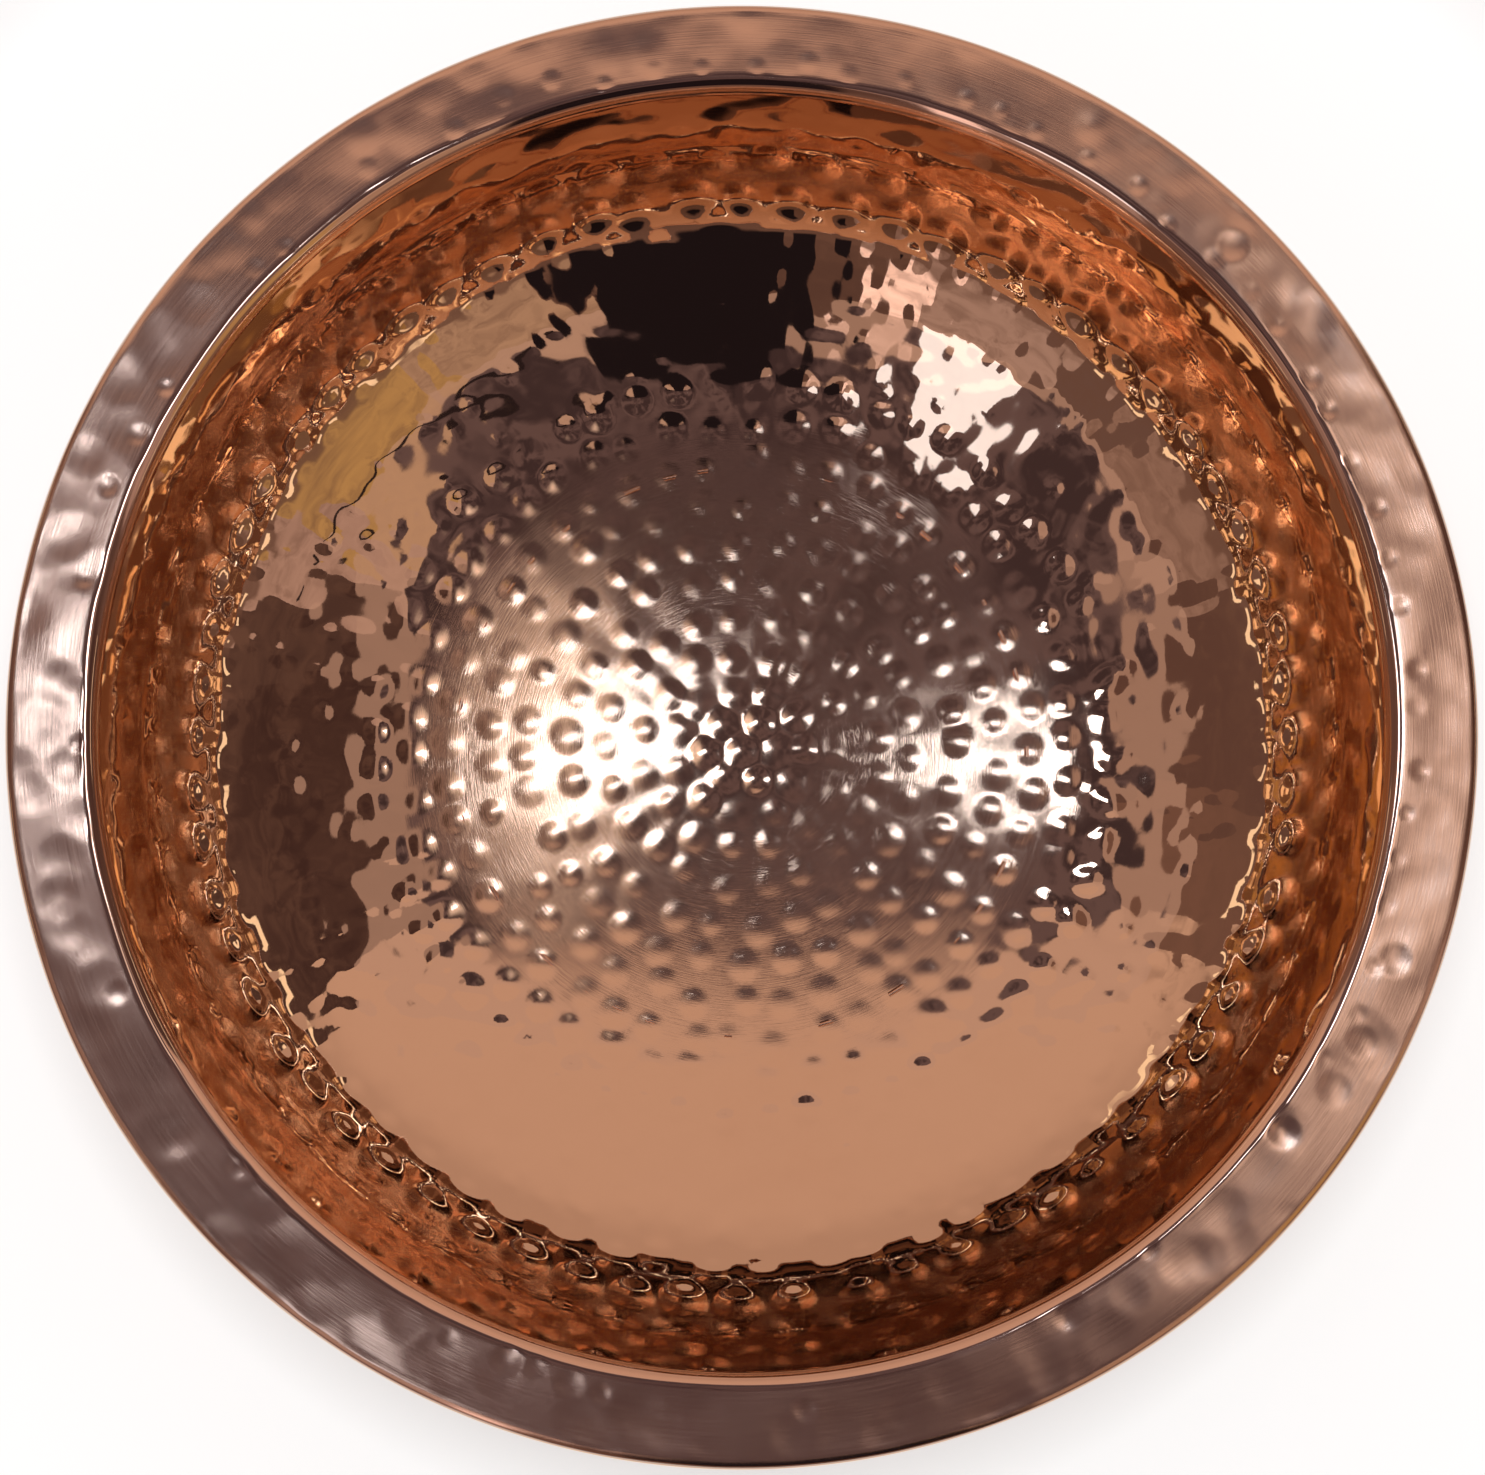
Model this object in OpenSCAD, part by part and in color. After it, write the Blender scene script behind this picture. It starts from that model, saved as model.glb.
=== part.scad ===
// Hammered copper bowl: a dished shell hung from a wide flat rim, standing on a low foot ring.
// Millimetres. The origin is the centre of the foot's bottom face, and +Z is up.

/* [Rim] */
// Outside diameter of the rim, over the rolled edge
rim_d = 406; // [390:1:420]
// Width of the rim, from the mouth to the outside
rim_w = 25; // [20:0.5:30]
// Outer radius of the bend from the flat of the rim down into the mouth
mouth_bend = 3.8; // [3:0.1:5]
// Depth of the turned-down lip, from the top of the rim
lip_depth = 6.5; // [5.5:0.5:9]
// Diameter of the steel wire in the rolled edge
wire_d = 3.2; // [2.6:0.1:4]

/* [Bowl] */
// Overall height, from the table to the top of the rim
height = 127; // [126:1:135]
// Thickness of the copper sheet
sheet = 1.2; // [1:0.1:1.4]
// Depth of the steep wall, from the top of the rim to the start of the knee
wall_depth = 40; // [34:1:42]
// Slope of the steep wall, in degrees from level
wall_slope = 86; // [84:0.5:88]
// Inside radius of the knee between wall and floor
knee_r = 56; // [50:1:58]
// Slope of the floor where it meets the knee, in degrees from level
floor_slope = 24; // [22:0.5:24.5]
// Width of the shell's own flange, under the rim
flange_w = 10; // [7:0.5:13]

/* [Foot] */
// Outside diameter of the foot ring at the table
foot_d = 194; // [170:1:210]
// How far the foot ring leans in towards its top
foot_lean = 5; // [3:0.5:7]
// Width of the foot ring's flat bottom lip
foot_lip = 9; // [7:0.5:11]
// Thickness of the foot ring's strip
foot_t = 1.5; // [1.3:0.1:1.8]
// Radius of the foot ring's bottom corner
foot_corner = 2.5; // [2:0.1:3]

/* [Solder] */
// Leg of the solder fillets
fillet = 2.2; // [1.8:0.1:2.6]

/* [Hidden] */
$fn = 180;

copper = [0.80, 0.48, 0.34];
steel = [0.62, 0.63, 0.65];
tin = [0.72, 0.72, 0.70];

// Steps along the small bends, the knee and the floor
bend_steps = 8;
knee_steps = 24;
floor_steps = 14;
// Straight collar of the shell below the end of the lip
collar_below_lip = 1.5;
// Angle at which the rolled edge ends, after going over, outside and under the wire
roll_end = -170;
roll_steps = 26;
// Room above the foot strip that the shell's curve cuts back
trim_room = 12;

// Rim: radius of the shell's inside at the mouth, and the centre of the nested bends
collar_r = rim_d / 2 - rim_w + sheet;
bend_in = mouth_bend - sheet;
bend_c = [collar_r + bend_in, height - mouth_bend];
flange_z = height - sheet;
// Rim: the wire's centre in the rolled edge
wire_r = wire_d / 2;
wire_c = [rim_d / 2 - sheet - wire_r, height - sheet - wire_r];

// Bowl: the inside curve, from the collar down to the middle of the floor
collar_z = height - lip_depth - collar_below_lip;
knee_z = height - wall_depth;
knee_top_r = collar_r - (collar_z - knee_z) / tan(wall_slope);
knee_c = [knee_top_r - knee_r * sin(wall_slope), knee_z + knee_r * cos(wall_slope)];
floor_edge = knee_c + knee_r * [sin(floor_slope), -cos(floor_slope)];
floor_r = floor_edge[0] / sin(floor_slope);
floor_c = [0, floor_edge[1] + floor_r * cos(floor_slope)];

// Foot: outside radius of the strip's top, its bottom and the strip's slant
foot_r = foot_d / 2;
foot_top_z = under_z(foot_r - foot_lean) + trim_room;
foot_slant = atan2(foot_top_z - foot_corner, foot_lean);

// Points on an arc about c, from angle a0 to a1, in degrees anticlockwise from +X
function arc(c, r, a0, a1, steps) =
    [for (i = [0:steps]) let(a = a0 + (a1 - a0) * i / steps) c + r * [cos(a), sin(a)]];

// Height of the shell's underside over the floor, at a distance r from the axis
function under_z(r) = floor_c[1] - sqrt(pow(floor_r + sheet, 2) - r * r);

// One face of the dished shell, t outside the inside surface, from the axis up to the knee's top
function dish(t) = concat(
    arc(floor_c, floor_r + t, -90, floor_slope - 90, floor_steps),
    arc(knee_c, knee_r + t, floor_slope - 90, wall_slope - 90, knee_steps)
);

// The same points in the opposite order
function reversed(points) = [for (i = [len(points) - 1:-1:0]) points[i]];

// Dished shell: floor, knee, wall, collar and outward flange, as one sheet
module shell_profile() {
    outside = concat(
        dish(sheet),
        [[collar_r + sheet, collar_z]],
        arc(bend_c, bend_in - sheet, 180, 90, bend_steps),
        [[collar_r + flange_w, flange_z - sheet]]
    );
    inside = concat(
        dish(0),
        [[collar_r, collar_z]],
        arc(bend_c, bend_in, 180, 90, bend_steps),
        [[collar_r + flange_w, flange_z]]
    );
    polygon(concat(outside, reversed(inside)));
}

// Everything on or over the floor's underside, to trim the foot and its solder to the shell
module over_floor() {
    polygon(concat(
        arc(floor_c, floor_r + sheet, -90, floor_slope - 90, floor_steps),
        [[floor_edge[0], height], [0, height]]
    ));
}

// Rim: turned-down lip, flat top and an edge rolled round the wire, as one sheet
module rim_profile() {
    half_step = (90 - roll_end) / roll_steps / 2;
    top = concat(
        [[collar_r - sheet, height - lip_depth]],
        arc(bend_c, mouth_bend, 180, 90, bend_steps),
        arc(wire_c, wire_r + sheet, 90, roll_end, roll_steps)
    );
    under = concat(
        [[collar_r, height - lip_depth]],
        arc(bend_c, bend_in, 180, 90, bend_steps),
        arc(wire_c, wire_r / cos(half_step), 90, roll_end, roll_steps)
    );
    polygon(concat(top, reversed(under)));
}

// Strip and bottom lip of the foot ring, before the shell trims its top
module foot_strip() {
    outer_c = [foot_r - foot_corner, foot_corner];
    outer = concat(
        [[foot_r - foot_lip, 0]],
        arc(outer_c, foot_corner, -90, 90 - foot_slant, bend_steps),
        [[foot_r - foot_lean, foot_top_z]]
    );
    inner = concat(
        [[foot_r - foot_lip, foot_t]],
        arc(outer_c, foot_corner - foot_t, -90, 90 - foot_slant, bend_steps),
        [[foot_r - foot_lean - foot_t, foot_top_z]]
    );
    polygon(concat(outer, reversed(inner)));
}

module bowl_shell() {
    color(copper) rotate_extrude() shell_profile();
}

module rim_ring() {
    color(copper) rotate_extrude() rim_profile();
}

module rim_wire() {
    color(steel) rotate_extrude() translate(wire_c) circle(r = wire_r);
}

// Fillet between the edge of the shell's flange and the underside of the rim
module rim_solder() {
    edge = [collar_r + flange_w, flange_z];
    color(tin) rotate_extrude() polygon([edge, edge + [fillet, 0], edge - [0, sheet]]);
}

module foot_ring() {
    color(copper) rotate_extrude() difference() {
        foot_strip();
        over_floor();
    }
}

// Fillet in the corner between the inside of the foot ring and the shell
module foot_solder() {
    inner_r = foot_r - foot_lean - foot_t;
    top_z = under_z(inner_r);
    color(tin) rotate_extrude() difference() {
        polygon([
            [inner_r - fillet, under_z(inner_r - fillet)],
            [inner_r + foot_t / 2, top_z - fillet],
            [inner_r + foot_t / 2, top_z + fillet],
            [inner_r - fillet, top_z + fillet]
        ]);
        over_floor();
        foot_strip();
    }
}

bowl_shell();
rim_ring();
rim_wire();
rim_solder();
foot_ring();
foot_solder();
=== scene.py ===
"""Hammered copper bowl: a dished shell under a wide flat rim, on a low foot ring.

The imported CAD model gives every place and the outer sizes. The shell, the rim and the foot are dense sheets
with each hammer dent modelled. The wire and the solder keep their CAD shape and get their own metal.
Lengths are metres in the CAD frame.
"""

import logging
import math
from dataclasses import dataclass, field
from enum import Enum
from typing import Any, Callable, Iterable, Sequence

import bpy
import numpy as np
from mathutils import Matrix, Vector


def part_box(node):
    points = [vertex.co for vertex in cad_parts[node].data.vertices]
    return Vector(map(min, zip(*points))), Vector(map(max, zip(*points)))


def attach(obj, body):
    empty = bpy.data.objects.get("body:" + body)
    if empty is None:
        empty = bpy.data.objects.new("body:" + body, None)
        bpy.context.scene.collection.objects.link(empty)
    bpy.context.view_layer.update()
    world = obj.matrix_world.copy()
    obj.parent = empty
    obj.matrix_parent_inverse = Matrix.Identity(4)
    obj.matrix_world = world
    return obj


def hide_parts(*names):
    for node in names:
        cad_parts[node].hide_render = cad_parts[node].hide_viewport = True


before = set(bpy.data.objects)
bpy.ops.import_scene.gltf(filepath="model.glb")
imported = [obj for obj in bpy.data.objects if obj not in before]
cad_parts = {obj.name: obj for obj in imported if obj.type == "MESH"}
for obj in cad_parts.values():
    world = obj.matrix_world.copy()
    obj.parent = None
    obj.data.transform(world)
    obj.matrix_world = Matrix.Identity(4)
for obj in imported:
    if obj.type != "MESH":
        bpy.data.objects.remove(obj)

MM = 0.001
IMAGE_WIDTH = 1485
IMAGE_HEIGHT = 1475
BODY = "root"

log = logging.getLogger("bowl")

Colour = tuple[float, float, float]
Array = np.ndarray
Row = tuple[float, float, float, float]  # distance, height and the two parts of the outward normal


# --- Shader maths ---


class Val:
    """One output socket that can stand in a Python expression on numbers."""

    def __init__(self, nodes: "NodeTree", socket: Any) -> None:
        """Keeps the tree and the socket."""
        self.nodes = nodes
        self.socket = socket

    def _math(self, operation: str, *values: "Val | float") -> "Val":
        """Adds a Math node.

        Args:
            operation: the Math node's operation.
            values: its inputs in order.

        Returns:
            The node's result.
        """
        return self.nodes.add("ShaderNodeMath", {"operation": operation}, dict(enumerate(values)))

    def __add__(self, other: "Val | float") -> "Val":
        """Sum."""
        return self._math("ADD", self, other)

    __radd__ = __add__

    def __sub__(self, other: "Val | float") -> "Val":
        """Difference."""
        return self._math("SUBTRACT", self, other)

    def __rsub__(self, other: float) -> "Val":
        """Reflected difference."""
        return self._math("SUBTRACT", other, self)

    def __mul__(self, other: "Val | float") -> "Val":
        """Product."""
        return self._math("MULTIPLY", self, other)

    __rmul__ = __mul__

    def __truediv__(self, other: "Val | float") -> "Val":
        """Quotient."""
        return self._math("DIVIDE", self, other)

    def at_least(self, other: "Val | float") -> "Val":
        """The larger of two values."""
        return self._math("MAXIMUM", self, other)

    def root(self) -> "Val":
        """Square root."""
        return self._math("SQRT", self)

    def size(self) -> "Val":
        """Absolute value."""
        return self._math("ABSOLUTE", self)

    def fraction(self) -> "Val":
        """What is left over a whole number."""
        return self._math("FRACT", self)

    def parts(self) -> tuple["Val", "Val", "Val"]:
        """The x, y and z of a vector."""
        made = self.nodes.add("ShaderNodeSeparateXYZ", {}, {0: self})
        x, y, z = (Val(self.nodes, part) for part in made.socket.node.outputs)
        return x, y, z

    def angle_of(self, x: "Val") -> "Val":
        """Angle of the point (x, self), in radians."""
        return self._math("ARCTAN2", self, x)

    def rise(self, low: float, high: float) -> "Val":
        """Smooth step from 0 at low to 1 at high.

        Args:
            low: value at which the step starts.
            high: value at which it ends; below low for a step down.

        Returns:
            The step, between 0 and 1.
        """
        if low > high:
            return 1 - self.rise(high, low)
        settings = {"interpolation_type": "SMOOTHSTEP"}
        inputs = {"Value": self, "From Min": low, "From Max": high}
        return self.nodes.add("ShaderNodeMapRange", settings, inputs)


class Steps(Enum):
    """How the colours of a ramp pass into each other."""

    SMOOTH = "LINEAR"
    SHARP = "CONSTANT"


class NodeTree:
    """Adds nodes to a material's or the world's tree."""

    def __init__(self, tree: bpy.types.NodeTree) -> None:
        """Empties the tree and keeps it."""
        self.tree = tree
        self.tree.nodes.clear()

    def add(
        self,
        kind: str,
        settings: dict[str, Any] | None = None,
        inputs: dict[str | int, Any] | None = None,
        output: str | int = 0,
    ) -> Val:
        """Adds one node, sets it and connects it.

        Args:
            kind: the node's type.
            settings: attributes set before the inputs.
            inputs: socket name or number to a Val, which is linked, or to a constant, which is set.
            output: socket name or number that the result stands for.

        Returns:
            The chosen output.
        """
        node = self.tree.nodes.new(kind)
        for key, value in (settings or {}).items():
            setattr(node, key, value)
        for key, value in (inputs or {}).items():
            socket = node.inputs[key]
            if isinstance(value, Val):
                self.tree.links.new(value.socket, socket)
            else:
                socket.default_value = value
        found = node.outputs[output] if len(node.outputs) else None
        return Val(self, found)

    def ramp(self, value: Val, stops: Sequence[tuple[float, Colour]], steps: Steps = Steps.SMOOTH) -> Val:
        """Colours a value by stops.

        Args:
            value: position on the ramp, 0 to 1.
            stops: positions and colours in rising order.
            steps: how colours pass between stops.

        Returns:
            The colour.
        """
        found = self.add("ShaderNodeValToRGB", {}, {0: value})
        band = found.socket.node.color_ramp
        band.interpolation = steps.value
        while len(band.elements) < len(stops):
            band.elements.new(0.5)
        for element, (place, colour) in zip(band.elements, stops):
            element.position = place
            element.color = (*colour, 1.0)
        return found

    def blend(self, amount: Val | float, first: Val | Colour, second: Val | Colour) -> Val:
        """Mixes two colours.

        Args:
            amount: 0 for the first, 1 for the second.
            first, second: colours or colour sockets.

        Returns:
            The mixed colour.
        """
        pair = [v if isinstance(v, Val) else (*v, 1.0) for v in (first, second)]
        settings = {"data_type": "RGBA"}
        return self.add("ShaderNodeMix", settings, {0: amount, 6: pair[0], 7: pair[1]}, output=2)

    def noise(self, vector: Val, scale: float, detail: float = 2.0, roughness: float = 0.5) -> Val:
        """Cloudy noise about 0.5.

        Args:
            vector: where it is read.
            scale: features per unit of the vector.
            detail: octaves.
            roughness: weight of the finer octaves.

        Returns:
            The noise value.
        """
        inputs = {"Vector": vector, "Scale": scale, "Detail": detail, "Roughness": roughness}
        return self.add("ShaderNodeTexNoise", {}, inputs)

    def place(self) -> tuple[Val, Val, Val, Val]:
        """The point on the surface in the CAD frame.

        Returns:
            The vector and its x, y and z.
        """
        point = self.add("ShaderNodeTexCoord", output="Object")
        return point, *point.parts()

    def vector(self, x: Val | float, y: Val | float, z: Val | float) -> Val:
        """Joins three values to a vector."""
        return self.add("ShaderNodeCombineXYZ", {}, {0: x, 1: y, 2: z})


# --- Finishes ---


@dataclass(frozen=True)
class Lathe:
    """Fine scratches that run round the bowl's axis, as brushing on a turntable leaves them."""

    across: float = 2600.0
    along: float = 7.0
    detail: float = 5.0

    def lines(self, nodes: NodeTree, x: Val, y: Val, z: Val, radius: Val) -> Val:
        """Scratch height about 0.5, without a seam where the angle wraps.

        Args:
            nodes: the tree.
            x, y, z: the surface point.
            radius: distance from the axis.

        Returns:
            The height.
        """
        safe = radius.at_least(0.002)
        across = (radius + z * 0.7) * self.across
        stretched = nodes.vector(x / safe * self.along, y / safe * self.along, across)
        return nodes.noise(stretched, 1.0, self.detail, 0.62)


@dataclass(frozen=True)
class Zone:
    """One stretch of a surface by distance from the axis, with its own polish."""

    start: float
    end: float
    roughness: float
    scratches: float
    fade: float = 0.004


@dataclass(frozen=True)
class CopperFinish:
    """Hammered copper: polished or satin by zone, with brushed lines, cloudiness and a warm stain.

    The painted back shade darkens the inside of the wall at the back, standing in for a darker reflection
    there. The outside colour is for faces that look out or down.
    """

    name: str
    colour: Colour = (0.95, 0.72, 0.54)
    stain: Colour = (0.85, 0.58, 0.40)
    stain_amount: float = 0.2
    roughness: float = 0.07
    cloud: float = 0.03
    scratches: float = 0.0
    zones: tuple[Zone, ...] = ()
    lathe: Lathe = Lathe()
    line_depth: float = 0.00003
    # Painted shade: colour and reach of the darker copper painted on the back of the inside wall, in place of
    # a darker reflection.
    painted_back_shade: Colour = (0.50, 0.29, 0.18)
    outside: Colour | None = None
    painted_back_shade_amount: float = 0.0
    painted_back_shade_from: float = 0.160
    painted_back_shade_fade: float = 0.010

    def material(self) -> bpy.types.Material:
        """Builds the material.

        Returns:
            A new material with this finish's name.
        """
        made = bpy.data.materials.new(self.name)
        made.use_nodes = True
        nodes = NodeTree(made.node_tree)
        point, x, y, z = nodes.place()
        radius = (x * x + y * y).root()
        lines = self.lathe.lines(nodes, x, y, z, radius)
        cloud = nodes.noise(point, 28.0, 4.0, 0.6)
        fine = nodes.noise(point, 420.0, 3.0, 0.6)
        rough: Val | float = self.roughness
        scratch: Val | float = self.scratches
        for zone in self.zones:
            inside = self._inside(radius, zone)
            rough = inside * (zone.roughness - rough) + rough
            scratch = inside * (zone.scratches - scratch) + scratch
        rough = rough + (cloud - 0.5) * (2 * self.cloud) + (lines - 0.5) * scratch * 0.25
        stained = (cloud.rise(0.45, 0.75) * 0.6 + fine.rise(0.5, 0.8) * 0.25) * self.stain_amount
        colour = nodes.blend(stained, self.colour, self.stain)
        across, behind, up = nodes.add("ShaderNodeNewGeometry", output="Normal").parts()
        outward = (across * x + behind * y) / radius.at_least(0.001)
        # Painted shade: darkens the inside of the wall at the back, in place of a darker reflection there.
        if self.painted_back_shade_amount:
            back = (y / radius.at_least(0.001)).rise(0.30, 0.85) * outward.rise(-0.1, -0.3)
            painted_back_shade_mask = back * radius.rise(self.painted_back_shade_from, self.painted_back_shade_from + self.painted_back_shade_fade)
            painted_back_shade_mask = painted_back_shade_mask * (cloud.rise(0.2, 0.6) * 0.4 + 0.6)
            colour = nodes.blend(painted_back_shade_mask * self.painted_back_shade_amount, colour, self.painted_back_shade)
        if self.outside:
            colour = nodes.blend(outward.rise(0.1, 0.3).at_least(up.rise(-0.1, -0.4)), colour, self.outside)
        bump = {"Strength": 1.0, "Distance": self.line_depth, "Height": lines * scratch + fine * 0.05}
        shader = {
            "Base Color": colour,
            "Metallic": 1.0,
            "Roughness": rough.at_least(0.02),
            "Normal": nodes.add("ShaderNodeBump", {}, bump),
        }
        surface = nodes.add("ShaderNodeBsdfPrincipled", {}, shader)
        nodes.add("ShaderNodeOutputMaterial", {}, {0: surface})
        return made

    @staticmethod
    def _inside(radius: Val, zone: Zone) -> Val:
        """1 within the zone, fading to 0 past its ends.

        Args:
            radius: distance from the axis.
            zone: the stretch.

        Returns:
            The mask.
        """
        falling = radius.rise(zone.end + zone.fade, zone.end)
        if zone.start <= 0:
            return falling
        return falling * radius.rise(zone.start - zone.fade, zone.start)


@dataclass(frozen=True)
class PlainMetalFinish:
    """A small hidden metal part: drawn wire or soft solder, with a grainy grey surface."""

    name: str
    colour: Colour
    shade: Colour
    roughness: float
    grain: float = 900.0

    def material(self) -> bpy.types.Material:
        """Builds the material.

        Returns:
            A new material with this finish's name.
        """
        made = bpy.data.materials.new(self.name)
        made.use_nodes = True
        nodes = NodeTree(made.node_tree)
        point, *_ = nodes.place()
        grain = nodes.noise(point, self.grain, 4.0, 0.6)
        normal = nodes.add("ShaderNodeBump", {}, {"Strength": 0.6, "Distance": 0.0002, "Height": grain})
        shader = {
            "Base Color": nodes.blend(grain, self.colour, self.shade),
            "Metallic": 1.0,
            "Roughness": grain * 0.2 + (self.roughness - 0.1),
            "Normal": normal,
        }
        surface = nodes.add("ShaderNodeBsdfPrincipled", {}, shader)
        nodes.add("ShaderNodeOutputMaterial", {}, {0: surface})
        return made


# --- Hammer work ---


@dataclass(frozen=True)
class Dent:
    """One hammer mark: its place, width and depth, and how softly its edge runs out (1 is crisp)."""

    along: float
    angle: float
    radius: float
    depth: float
    edge: float


class HammerWork:
    """All the dents on one sheet, and the slow waves that hammering leaves between them."""

    LIP = 0.06
    LIP_PLACE = 1.1
    LIP_WIDTH = 0.14
    REACH = 1.6
    BATCH = 64

    def __init__(self, seed: int, distance_at: Callable[[Array], Array]) -> None:
        """Starts with no dents.

        Args:
            seed: seed of the random draws.
            distance_at: distance from the axis at a place along the profile.
        """
        self.rng = np.random.default_rng(seed)
        self.distance_at = distance_at
        self.dents: list[Dent] = []
        self.waves: list[tuple[float, int, float, float]] = []

    def strike(self, along: float, angle: float, radius: float, depth: float, edge: float) -> None:
        """Adds one dent."""
        self.dents.append(Dent(along, angle, radius, depth, edge))

    def row(
        self,
        along: float,
        count: int,
        radius: float,
        depth: float,
        loose: float = 0.12,
        keep: Callable[[float], float] | float = 1.0,
        turn: float = 0.0,
        edge: float = 1.25,
    ) -> None:
        """Adds a ring of dents with a hand's unevenness.

        Args:
            along: place along the profile.
            count: dents in the ring.
            radius: mean dent radius.
            depth: mean dent depth.
            loose: how far dents stray, as a share of their spacing.
            keep: chance that a dent is struck, as a number or by angle.
            turn: where the ring starts, in spacings.
            edge: how softly each dent's edge runs out.
        """
        distance = float(self.distance_at(np.array([along]))[0])
        spacing = 2 * math.pi * distance / max(count, 1)
        for i in range(count):
            stray = self.rng.normal(0, loose, 2) * spacing
            size = self.rng.normal(1, 0.09)
            force = self.rng.uniform(0.6, 1.3)
            lot = self.rng.random()
            angle = 2 * math.pi * (i + turn) / count + stray[0] / max(distance, 0.001)
            chance = keep(angle % (2 * math.pi)) if callable(keep) else keep
            if lot < chance:
                self.strike(along + stray[1], angle, radius * size, depth * force, edge)

    def wave(self, length: float, height: float, count: int) -> None:
        """Adds slow random waves.

        Args:
            length: wavelength along the profile.
            height: height of each wave.
            count: number of waves.
        """
        for _ in range(count):
            pull = self.rng.uniform(0.7, 1.4)
            turns = int(self.rng.integers(3, 26))
            phase = self.rng.uniform(0, 2 * math.pi)
            size = height * self.rng.uniform(0.4, 1)
            self.waves.append((2 * math.pi / (length * pull), turns, phase, size))

    def rise(self, along: float, distance: float, angles: Array) -> Array:
        """Height of the worked surface over the true one, at one place along the profile.

        Args:
            along: the place.
            distance: distance from the axis there.
            angles: angles round the axis.

        Returns:
            The heights; a dent is negative.
        """
        height = np.zeros_like(angles)
        for pull, turns, phase, size in self.waves:
            fade = min(1.0, distance / 0.03)
            height += fade * size * np.sin(pull * along + phase) * np.cos(turns * angles + phase * 3)
        near = [d for d in self.dents if abs(d.along - along) < self.REACH * d.radius]
        for start in range(0, len(near), self.BATCH):
            height += self._press(near[start : start + self.BATCH], along, distance, angles)
        return height

    def _press(self, dents: Sequence[Dent], along: float, distance: float, angles: Array) -> Array:
        """Sum of some dents along one ring.

        Args:
            dents: the dents.
            along: the ring's place along the profile.
            distance: the ring's distance from the axis.
            angles: angles round the axis.

        Returns:
            The heights.
        """
        place = np.array([(d.along, d.angle, d.radius, d.depth, d.edge) for d in dents])
        far = self.distance_at(place[:, 0])
        half = np.sin((angles[:, None] - place[None, :, 1]) / 2)
        gap = np.sqrt((along - place[:, 0]) ** 2 + 4 * distance * far * half**2) / place[:, 2]
        bowl = -(np.clip(1 - gap**2, 0, None) ** place[:, 4])
        lip = self.LIP / place[:, 4] ** 3 * np.exp(-(((gap - self.LIP_PLACE) / self.LIP_WIDTH) ** 2))
        return ((bowl + lip) * place[:, 3]).sum(1)


# --- Sheet meshes ---


@dataclass(frozen=True)
class Ring:
    """One ring of vertices: distance from the axis and height for each, at even angles."""

    distance: Array
    height: Array

    @property
    def count(self) -> int:
        """Number of vertices."""
        return len(self.distance)


def even_angles(count: int) -> Array:
    """Angles of a ring's vertices."""
    return np.arange(count) * (2 * math.pi / count)


def bend_rows(centre: tuple[float, float], radius: float, degrees: Iterable[float]) -> list[Row]:
    """Rows round a bend in the profile.

    Args:
        centre: distance and height of the bend's centre.
        radius: the bend's radius.
        degrees: angles of the rows, from straight out.

    Returns:
        The rows, facing away from the centre.
    """
    rows = []
    for turn in map(math.radians, degrees):
        out = (math.cos(turn), math.sin(turn))
        rows.append((centre[0] + radius * out[0], centre[1] + radius * out[1], *out))
    return rows


def segments_at(distance: float, spacing: float) -> int:
    """Vertices round a ring, in steps, so that neighbouring rings mostly have the same number.

    Args:
        distance: the ring's distance from the axis.
        spacing: wanted distance between vertices.

    Returns:
        The number.
    """
    return max(24 * round(2 * math.pi * distance / spacing / 24), 12)


class SheetMesh:
    """Joins rings of vertices into one closed surface."""

    def __init__(self, name: str) -> None:
        """Starts an empty mesh with a name."""
        self.name = name
        self.rings: list[Ring] = []

    def ring(self, distance: Array, height: Array) -> None:
        """Adds the next ring."""
        self.rings.append(Ring(np.atleast_1d(distance), np.atleast_1d(height)))

    def build(self, loop: bool) -> bpy.types.Object:
        """Makes the object.

        Args:
            loop: whether the last ring joins the first, as in a ring-shaped sheet.

        Returns:
            The object, linked to the scene, with smooth faces.
        """
        starts = np.cumsum([0] + [r.count for r in self.rings])
        points = np.concatenate([self._points(r) for r in self.rings])
        faces: list[tuple[int, ...]] = []
        pairs = list(zip(range(len(self.rings) - 1), range(1, len(self.rings))))
        if loop:
            pairs.append((len(self.rings) - 1, 0))
        for a, b in pairs:
            faces += self._join(int(starts[a]), self.rings[a].count, int(starts[b]), self.rings[b].count)
        mesh = bpy.data.meshes.new(self.name)
        mesh.from_pydata(points.tolist(), [], faces)
        mesh.shade_smooth()
        mesh.update()
        made = bpy.data.objects.new(self.name, mesh)
        bpy.context.scene.collection.objects.link(made)
        return made

    @staticmethod
    def _points(ring: Ring) -> Array:
        """Vertex positions of one ring."""
        angles = even_angles(ring.count)
        return np.stack([ring.distance * np.cos(angles), ring.distance * np.sin(angles), ring.height], 1)

    @staticmethod
    def _join(a: int, m: int, b: int, n: int) -> list[tuple[int, ...]]:
        """Faces between two rings: squares if their counts are equal, or else triangles by turn.

        Args:
            a, m: first vertex and count of the first ring.
            b, n: first vertex and count of the second ring.

        Returns:
            The faces.
        """
        if m == n:
            return [(a + j, b + j, b + (j + 1) % n, a + (j + 1) % m) for j in range(n)]
        faces: list[tuple[int, ...]] = []
        i = j = 0
        while i < m * (m > 1) or j < n * (n > 1):
            second = j < n and n > 1 and (i >= m or m == 1 or (j + 1) * m <= (i + 1) * n)
            if second:
                faces.append((a + i % m, b + j, b + (j + 1) % n))
                j += 1
            else:
                faces.append((a + i, b + j % n, a + (i + 1) % m))
                i += 1
        return faces


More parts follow.
